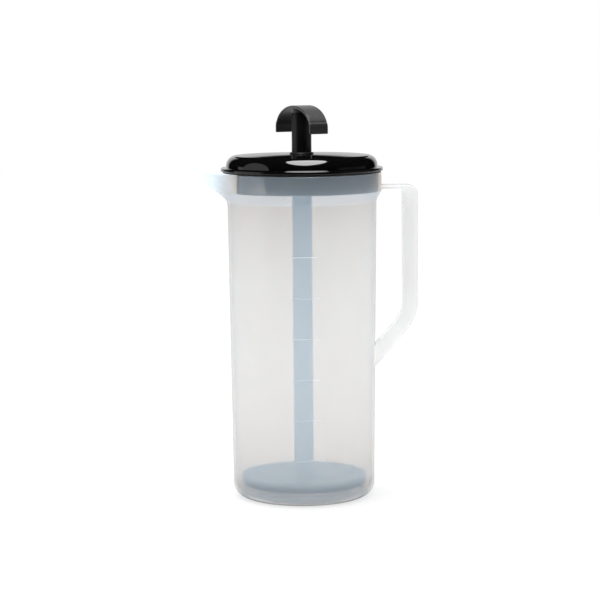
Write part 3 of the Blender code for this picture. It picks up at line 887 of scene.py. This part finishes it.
@dataclass
class LidAssembly:
    """The lid with its flange, dome and skirt, the ring seal under the flange and the shaft's grommet."""

    gloss: BlackPlastic
    soft: BlackPlastic
    seat_gap: float = 0.0003
    rim_height: float = 0.2363
    seal_thickness: float = 0.0008
    seal_width: float = 0.0019
    seal_round: float = 0.00025
    flange_radius: float = 0.0586
    flange_thickness: float = 0.0024
    flange_round: float = 0.0006
    wall: float = 0.0018
    skirt_radius: float = 0.0550
    skirt_wall: float = 0.0016
    skirt_depth: float = 0.0150
    skirt_round: float = 0.0005
    dome_radius: float = 0.0549
    shoulder_rise: float = 0.0009
    shoulder_height: float = 0.0078
    shoulder_width: float = 0.0065
    shoulder_points: int = 28
    crown_slope: float = 0.045
    crown_points: int = 20
    edge_steps: int = 12
    profile_longest: float = 0.003
    sharp_deg: float = 10.0
    pour_deg: Span = (147.0, 213.0)
    window_head: float = 0.0004
    strain_angle_deg: float = 230.7
    strain_slots: int = 9
    strain_slot_width: float = 0.0018
    strain_pitch_deg: float = 2.5
    strain_foot: float = 0.0012
    mark_angle_deg: float = 233.0
    mark_depth: float = 0.0012
    bush_bore: float = 0.00745
    bush_groove: float = 0.00825
    bush_lip_radius: float = 0.0090
    bush_lip_height: float = 0.0008
    bush_lip_top: float = 0.0005
    bush_flange_radius: float = 0.0118
    bush_flange_thickness: float = 0.0018
    bush_sleeve_radius: float = 0.0092
    bush_sleeve_length: float = 0.0040
    bush_round: float = 0.0003

    @property
    def seal_bottom(self) -> float:
        """The level of the ring seal's underside."""
        return self.rim_height + self.seat_gap

    @property
    def seat(self) -> float:
        """The level of the flange's underside, from which the lid's heights count."""
        return self.seal_bottom + self.seal_thickness + self.seat_gap

    def dome(self, inset: float) -> Points:
        """The dome's section from its foot to the hole: an elliptic shoulder, r = c + w cos t and
        z = h sin t, until its slope is the crown's, then a parabola that flattens towards the axis.

        Args:
            inset: how far inside the outer surface the section runs.

        Returns:
            Radius and height of each point.
        """
        wide, tall = self.shoulder_width - inset, self.shoulder_height - inset
        angle = np.linspace(0.0, math.atan2(tall, self.crown_slope * wide), self.shoulder_points)
        foot = self.flange_thickness + self.shoulder_rise
        across = self.dome_radius - self.shoulder_width + wide * np.cos(angle)
        shoulder = np.stack([across, foot + tall * np.sin(angle)], axis=1)
        edge_radius, edge_height = shoulder[-1]
        radius = np.linspace(edge_radius, self.bush_groove + self.seat_gap, self.crown_points)[1:]
        crown = edge_height + self.crown_slope * (edge_radius**2 - radius**2) / (2 * edge_radius)
        return np.vstack([shoulder, np.stack([radius, crown], axis=1)])

    def profile(self) -> Points:
        """The lid's ring section, with heights from its seat.

        Returns:
            Radius and height of each point.
        """
        outer, inner, foot = self.skirt_radius, self.skirt_radius - self.skirt_wall, -self.skirt_depth
        rim, top, dome = self.flange_radius, self.flange_thickness, self.dome_radius
        edge, rim_edge = self.skirt_round, self.flange_round
        corners = [
            (inner, 0.0, 0.0), (inner, foot, edge), (outer, foot, edge), (outer, 0.0, edge / 2),
            (rim, 0.0, rim_edge), (rim, top, rim_edge), (dome, top, edge),
            (dome, top + self.shoulder_rise, 0.0),
        ]
        outside = rounded(corners, steps=self.edge_steps)
        whole = np.vstack([outside, self.dome(0.0)[1:], self.dome(self.wall)[::-1]])
        return refined(whole, self.profile_longest, True)

    def skirt_block(self, low: float) -> Points:
        """The section of a block through the skirt, up to just under the flange.

        Args:
            low: how far above the skirt's foot the block starts.

        Returns:
            Radius and height of its four corners.
        """
        inner, outer = self.skirt_radius - self.skirt_wall - CUT_OVERRUN, self.skirt_radius + CUT_OVERRUN
        foot, head = self.seat - self.skirt_depth + low, self.seat - self.window_head
        return np.array([(inner, foot), (outer, foot), (outer, head), (inner, head)])

    def cover(self) -> None:
        """The lid itself, with its pouring gap at the spout, its straining slots and the flat mark above."""
        lid = turned_object("lid_moulding", self.profile() + [0.0, self.seat], LARGE_FACETS, True)
        cutters = [sector(self.skirt_block(-CUT_OVERRUN), *self.pour_deg)]
        slot = self.skirt_block(self.strain_foot)
        half_deg = math.degrees(self.strain_slot_width / self.skirt_radius) / 2
        for index in range(self.strain_slots):
            middle = self.strain_angle_deg + (index - (self.strain_slots - 1) / 2) * self.strain_pitch_deg
            cutters.append(sector(slot, middle - half_deg, middle + half_deg))
        combine(lid, mesh_object("skirt_windows", *joined(cutters)), Solid.CUT)

        low = self.seat + self.flange_thickness + self.shoulder_rise / 2
        high = self.seat + self.flange_thickness + self.shoulder_height
        face, half = self.dome_radius - self.mark_depth, self.dome_radius / 2
        outline = np.array([(face, -half, low), (face, half, low), (face, half, high), (face, -half, high)])
        points, faces = prism(outline, (self.mark_depth + CUT_OVERRUN, 0.0, 0.0))
        combine(lid, mesh_object("pour_mark", turn_about_axis(points, self.mark_angle_deg), faces), Solid.CUT)
        finish_piece(lid, self.gloss.material(), "lid_cover", Body.LID, self.sharp_deg)

    def seal(self) -> None:
        """The ring between the rim and the flange."""
        inner, edge = self.skirt_radius + self.seat_gap, self.seal_round
        outer, top = inner + self.seal_width, self.seal_bottom + self.seal_thickness
        sides = ((inner, self.seal_bottom), (outer, self.seal_bottom), (outer, top), (inner, top))
        section = rounded([(radius, height, edge) for radius, height in sides], True, EDGE_STEPS)
        ring = turned_object("lid_seal_ring", section, LARGE_FACETS, True)
        finish_piece(ring, self.soft.material(), "lid_seal", Body.SEAL)

    def bush(self) -> None:
        """The grommet: a cone lip on the crown, a groove at the hole's edge, a flange and a sleeve."""
        crown = self.seat + self.dome(0.0)[-1, 1] + self.seat_gap
        under = self.seat + self.dome(self.wall)[-1, 1] - self.seat_gap
        flange = under - self.bush_flange_thickness
        sleeve, edge, lip = flange - self.bush_sleeve_length, self.bush_round, crown + self.bush_lip_height
        corners = [
            (self.bush_bore, lip, edge / 2), (self.bush_bore, sleeve, edge),
            (self.bush_sleeve_radius, sleeve, edge), (self.bush_sleeve_radius, flange, edge),
            (self.bush_flange_radius, flange, edge), (self.bush_flange_radius, under, edge),
            (self.bush_groove, under, 0.0), (self.bush_groove, crown, 0.0),
            (self.bush_lip_radius, crown, edge / 3), (self.bush_bore + self.bush_lip_top, lip, edge / 2),
        ]
        grommet = turned_object("shaft_grommet", rounded(corners, True, EDGE_STEPS), SMALL_FACETS, True)
        finish_piece(grommet, self.soft.material(), "shaft_bush", Body.BUSH)

    def build(self) -> None:
        """Builds and dresses the lid's three pieces."""
        self.cover()
        self.seal()
        self.bush()


# The plunger


@dataclass
class Plunger:
    """The shaft, the arched grip on its top and the slotted mixing disc at its foot."""

    finish: BlackPlastic
    grip_finish: BlackPlastic
    seat_gap: float = 0.0003
    shaft_radius: float = 0.00715
    shaft_bore: float = 0.0050
    shaft_round: float = 0.0003
    shaft_longest: float = 0.01
    disc_top: float = 0.0153
    spigot_length: float = 0.0180
    grip_turn_deg: float = 61.0
    grip_half_span: float = 0.0261
    grip_rise: float = 0.0160
    grip_leg: float = 0.0039
    grip_band: float = 0.0020
    grip_width: float = 0.0146
    grip_top: float = 0.2846
    grip_edge: float = 0.0006
    grip_lip_share: float = 1.2
    grip_boss_length: float = 0.0030
    grip_boss_share: float = 0.7
    grip_steps: int = 72
    grip_longest: float = 0.002
    grip_sharp_deg: float = 10.0
    grip_ledge: float = 0.2724
    grip_ledge_depth: float = 0.0004
    disc_radius: float = 0.0456
    disc_plate: float = 0.0020
    disc_rim_height: float = 0.0057
    disc_rim_width: float = 0.0018
    disc_round: float = 0.0004
    disc_longest: float = 0.004
    floor_height: float = 0.0025
    hub_radius: float = 0.0105
    hub_chamfer: float = 0.0008
    slot_width: float = 0.0038
    slot_round_share: float = 0.95
    slot_longest: float = 0.0008
    slot_rings: tuple[tuple[float, int], ...] = ((0.0195, 6), (0.0325, 12))
    slot_open_share: float = 0.62

    @property
    def spigot_radius(self) -> float:
        """The radius of the spigots that plug into the shaft."""
        return self.shaft_bore - self.seat_gap

    @property
    def boss_bottom(self) -> float:
        """The level at which the grip's boss meets the shaft."""
        return self.grip_top - self.grip_band - self.grip_boss_length

    def shaft(self) -> None:
        """The round tube from the disc to the grip."""
        bottom, top, edge = self.disc_top + self.seat_gap, self.boss_bottom - self.seat_gap, self.shaft_round
        corners = [
            (self.shaft_bore, bottom, edge), (self.shaft_radius, bottom, edge),
            (self.shaft_radius, top, edge / 3), (self.shaft_bore, top, edge),
        ]
        section = refined(rounded(corners, True, EDGE_STEPS), self.shaft_longest, True)
        tube = turned_object("plunger_tube", section, SMALL_FACETS, True)
        finish_piece(tube, self.finish.material(), "plunger_shaft", Body.PLUNGER)

    def arch(self) -> Points:
        """The grip's side view in X and Z: an outer and an inner half ellipse with a straight lip on each
        leg, the lips' corners rounded. Above a ledge the outer one is drawn in by a small step, which
        gives the band its crease.

        Returns:
            The closed outline's points.
        """
        spring = self.grip_top - self.grip_rise
        low, edge = spring - self.grip_leg, self.grip_edge * self.grip_lip_share
        span, inner_span = self.grip_half_span, self.grip_half_span - self.grip_band
        inner_rise = self.grip_rise - self.grip_band
        angle = np.linspace(0.0, math.pi, self.grip_steps + 1)
        outer = np.stack([span * np.cos(angle), spring + self.grip_rise * np.sin(angle)], axis=1)
        step = np.where(outer[:, 1] > self.grip_ledge, self.grip_ledge_depth, 0.0)
        outer[:, 0] -= np.sign(outer[:, 0]) * step
        inner = np.stack([inner_span * np.cos(angle), spring + inner_rise * np.sin(angle)], axis=1)[::-1]
        start = spring - edge
        lip = [(-span, start, 0.0), (-span, low, edge), (-inner_span, low, edge), (-inner_span, start, 0.0)]
        left = rounded(lip)
        return refined(np.vstack([outer, left, inner, left[::-1] * [-1.0, 1.0]]), self.grip_longest, True)

    def grip(self) -> None:
        """The arched grip with its boss and spigot."""
        points, faces = slab(self.arch(), self.grip_width, self.grip_edge)
        band = mesh_object("arched_grip", turn_about_axis(points, -self.grip_turn_deg), faces)
        top = self.grip_top - self.grip_band * self.grip_boss_share
        boss, foot, edge = self.boss_bottom, self.boss_bottom - self.spigot_length, self.shaft_round
        corners = [
            (0.0, foot, 0.0), (self.spigot_radius, foot, edge), (self.spigot_radius, boss, 0.0),
            (self.shaft_radius, boss, edge / 3), (self.shaft_radius, top, 0.0), (0.0, top, 0.0),
        ]
        combine(band, turned_object("grip_stem", rounded(corners), SMALL_FACETS, False), Solid.JOIN)
        finish = self.grip_finish.material()
        finish_piece(band, finish, "plunger_grip", Body.PLUNGER, self.grip_sharp_deg)

    def slot_cutter(self, radius: float, count: int, index: int) -> Shape:
        """One slot's cutter: a rounded bar of length l bent round the axis, so that a point s along it and
        t across lies at the angle s / radius and the distance radius + t.

        Args:
            radius: the radius of the ring of slots.
            count: how many slots are in it.
            index: which one this is.

        Returns:
            Its points and faces.
        """
        far, wide = radius * (math.tau / count * self.slot_open_share / 2), self.slot_width / 2
        ends = ((-far, -wide), (far, -wide), (far, wide), (-far, wide))
        bar = rounded([(along, across, wide * self.slot_round_share) for along, across in ends], True)
        bar = refined(bar, self.slot_longest, True)
        angle, reach = bar[:, 0] / radius + math.tau * index / count, radius + bar[:, 1]
        low = self.disc_top - self.disc_plate - CUT_OVERRUN
        return prism(around(reach, angle, low), (0.0, 0.0, self.disc_plate + 2 * CUT_OVERRUN))

    def disc(self) -> None:
        """The mixing disc: a slotted plate with a rim below, a hub that stands on the floor, a spigot."""
        under, rim_low = self.disc_top - self.disc_plate, self.disc_top - self.disc_rim_height
        hub_low, edge = self.floor_height + self.seat_gap, self.disc_round
        inner, top = self.disc_radius - self.disc_rim_width, self.disc_top
        tip = top + self.spigot_length
        corners = [
            (0.0, hub_low, 0.0), (self.hub_radius, hub_low, self.hub_chamfer), (self.hub_radius, under, edge),
            (inner, under, edge), (inner, rim_low, edge), (self.disc_radius, rim_low, edge),
            (self.disc_radius, top, edge), (self.spigot_radius, top, 0.0), (self.spigot_radius, tip, edge),
            (0.0, tip, 0.0),
        ]
        path = refined(rounded(corners, steps=EDGE_STEPS), self.disc_longest)
        disc = turned_object("mixing_paddle", path, LARGE_FACETS, False)
        cutters = []
        for radius, count in self.slot_rings:
            cutters += [self.slot_cutter(radius, count, index) for index in range(count)]
        combine(disc, mesh_object("disc_slots", *joined(cutters)), Solid.CUT)
        finish_piece(disc, self.finish.material(), "mixing_disc", Body.PLUNGER)

    def build(self) -> None:
        """Builds and dresses the plunger's three pieces."""
        self.shaft()
        self.grip()
        self.disc()


# The studio


@dataclass(frozen=True)
class Softbox:
    """An elliptic area lamp, turned to a target. Its power is level * pi * its area, which makes its face
    as bright as a white card under a light of that level. It either only shows in reflections, or only
    lights."""

    name: str
    place: Triple
    target: Triple
    size: Span
    level: float
    gloss_only: bool

    def build(self) -> None:
        """Hangs the lamp."""
        data = bpy.data.lights.new(self.name, "AREA")
        data.shape = "ELLIPSE"
        data.size, data.size_y = self.size
        data.energy = self.level * math.pi * (math.pi / 4 * self.size[0] * self.size[1])
        lamp = placed(self.name, data)
        lamp.rotation_euler = (Vector(self.target) - Vector(self.place)).to_track_quat("-Z", "Y").to_euler()
        lamp.location = self.place
        lamp.visible_camera = False
        lamp.visible_glossy = self.gloss_only
        lamp.visible_diffuse = not self.gloss_only
        lamp.visible_transmission = not self.gloss_only


SOFTBOXES = (
    Softbox("long_softbox", (0.097, -0.56, 1.245), (0.097, -0.56, 0.245), (0.83, 1.5), 11.5, True),
    Softbox("softbox_overhead", (-0.3, -0.2, 1.9), (0.0, 0.0, 0.25), (1.4, 1.4), 3.2, False),
)


@dataclass
class Studio:
    """A pale floor in a white surround, a softbox that draws the lid's highlight, one that lights from
    overhead, and the camera. A pair of numbers is a stretch of the sky's direction vector."""

    floor_half: float = 3.0
    floor_front: float = -0.9
    floor_back: float = 4.0
    floor_glow_share: float = 0.65
    floor_mirror_level: float = 0.6
    front_level: float = 0.32
    back_level: float = 1.6
    side_level: float = 0.16
    left_card_level: float = 0.75
    right_card_level: float = 0.1
    cards_from: Span = (-0.6, -0.45)
    cards_to: Span = (0.33, 0.4)
    cards_top: Span = (0.1, 0.16)
    backdrop_level: float = 0.62
    backdrop_rise: float = 1.2
    backdrop_aside: Span = (0.02, 0.10)
    backdrop_from: Span = (0.8, 0.88)
    backdrop_top: Span = (0.058, 0.08)
    camera_place: Triple = (-0.00183, -1.5, 0.3247)
    camera_pitch_deg: float = 6.89
    camera_yaw_deg: float = 0.008
    camera_roll_deg: float = 0.456
    focal_px: float = 2075.2
    frame_px: float = 600.0
    sensor_mm: float = 36.0

    def camera(self) -> None:
        """The camera at the photograph's angle: level, pitched down, then rolled about its own axis."""
        data = bpy.data.cameras.new("studio_camera")
        data.sensor_width = self.sensor_mm
        data.sensor_fit = "HORIZONTAL"
        data.lens = self.focal_px * self.sensor_mm / self.frame_px
        camera = placed("studio_camera", data)
        turn = Matrix.Rotation(math.radians(self.camera_yaw_deg), 4, "Z")
        turn = turn @ Matrix.Rotation(math.radians(90.0 - self.camera_pitch_deg), 4, "X")
        turn = turn @ Matrix.Rotation(-math.radians(self.camera_roll_deg), 4, "Z")
        camera.matrix_world = Matrix.Translation(Vector(self.camera_place)) @ turn
        bpy.context.scene.camera = camera

    def floor(self) -> None:
        """A pale floor that looks white from the camera and through the jug, pale grey in gloss, and keeps
        a soft shadow."""
        half, front, back = self.floor_half, self.floor_front, self.floor_back
        mesh = bpy.data.meshes.new("studio_floor")
        corners = [(-half, front, 0.0), (half, front, 0.0), (half, back, 0.0), (-half, back, 0.0)]
        mesh.from_pydata(corners, [], [[0, 1, 2, 3]])
        floor = placed("studio_floor", mesh)
        material, tree, _ = new_material("pale_studio_paper")
        mirrored, seen = self.rays(tree)
        share = ramps(tree, (seen, 0.0, 1.0, 0.0, self.floor_glow_share))
        level = ramps(tree, (mirrored, 0.0, 1.0, 1.0, self.floor_mirror_level))
        paper = add_node(tree, "BsdfDiffuse", {"Color": level})
        glow = add_node(tree, "Emission", {"Strength": 1.0})
        mix = add_node(tree, "MixShader", {0: share, 1: paper, 2: glow})
        add_node(tree, "OutputMaterial", {"Surface": mix})
        mesh.materials.append(material)

    def rays(self, tree: Tree) -> tuple[Socket, Socket]:
        """1 for a ray that is mirrored, and 1 for one from the camera or through the jug.

        Args:
            tree: the node tree.

        Returns:
            The two sockets.
        """
        path = add_node(tree, "LightPath").outputs
        kinds = {0: path["Is Camera Ray"], 1: path["Is Transmission Ray"]}
        return path["Is Glossy Ray"], add_node(tree, "Math", kinds, operation="MAXIMUM").outputs[0]

    def surround(self) -> None:
        """The world: white for the camera and through the jug, and brighter behind the object than in
        front of it where it lights. In gloss it is dark above, with a bright card on the left, a dim one
        on the right and a pale backdrop near the horizon, whose top edge falls away to both sides."""
        world = bpy.data.worlds.new("studio_surround")
        bpy.context.scene.world = world
        world.use_nodes = True
        tree = world.node_tree
        tree.nodes.clear()
        mirrored, seen = self.rays(tree)
        way = add_node(tree, "TexCoord").outputs["Generated"]
        split = add_node(tree, "SeparateXYZ", {0: way})
        across, depth, rise = split.outputs["X"], split.outputs["Y"], split.outputs["Z"]
        aside = add_node(tree, "Math", {0: across}, operation="ABSOLUTE").outputs[0]
        fall = add_node(tree, "Math", {0: aside, 1: self.backdrop_rise}, operation="MULTIPLY")
        above = add_node(tree, "Math", {0: rise, 1: fall}, operation="SUBTRACT").outputs[0]
        cards = ramps(
            tree,
            (across, -1.0, 1.0, self.left_card_level, self.right_card_level),
            (depth, *self.cards_from, 0.0, 1.0),
            (depth, *self.cards_to, 1.0, 0.0),
            (rise, *self.cards_top, 1.0, 0.0),
        )
        backdrop = ramps(
            tree,
            (aside, *self.backdrop_aside, self.backdrop_level, 1.0),
            (depth, *self.backdrop_from, 0.0, 1.0),
            (above, *self.backdrop_top, 1.0, 0.0),
        )
        facing = ramps(tree, (depth, -1.0, 1.0, self.front_level, self.back_level))
        sides = ramps(tree, (aside, 0.0, 1.0, 0.0, self.side_level), (depth, 0.0, 1.0, 1.0, 0.0))
        glossy = add_node(tree, "Math", {0: cards, 1: backdrop}, operation="ADD").outputs[0]
        plain = add_node(tree, "Math", {0: facing, 1: sides}, operation="ADD").outputs[0]
        lit = add_node(tree, "Mix", {0: mirrored, 2: plain, 3: glossy}).outputs[0]
        shown = add_node(tree, "Mix", {0: seen, 2: lit, 3: 1.0}).outputs[0]
        sky = add_node(tree, "Background", {"Color": linear("#ffffff"), "Strength": shown})
        add_node(tree, "OutputWorld", {"Surface": sky})

    def build(self) -> None:
        """Sets the view transform, floor, surround, lamps and camera."""
        bpy.context.scene.view_settings.view_transform = "Standard"
        self.floor()
        self.surround()
        for softbox in SOFTBOXES:
            softbox.build()
        self.camera()


def main() -> None:
    """Builds the pitcher's pieces and the studio."""
    logging.basicConfig(level=logging.INFO, format="%(message)s")
    assemblies = (
        Pitcher(NaturalPolypropylene()),
        LidAssembly(LID_GLOSS, SEAL_SOFT),
        Plunger(PLUNGER_SATIN, GRIP_TEXTURE),
        Studio(),
    )
    for assembly in assemblies:
        LOG.info("building %s", type(assembly).__name__)
        assembly.build()


if __name__ == "__main__":
    main()
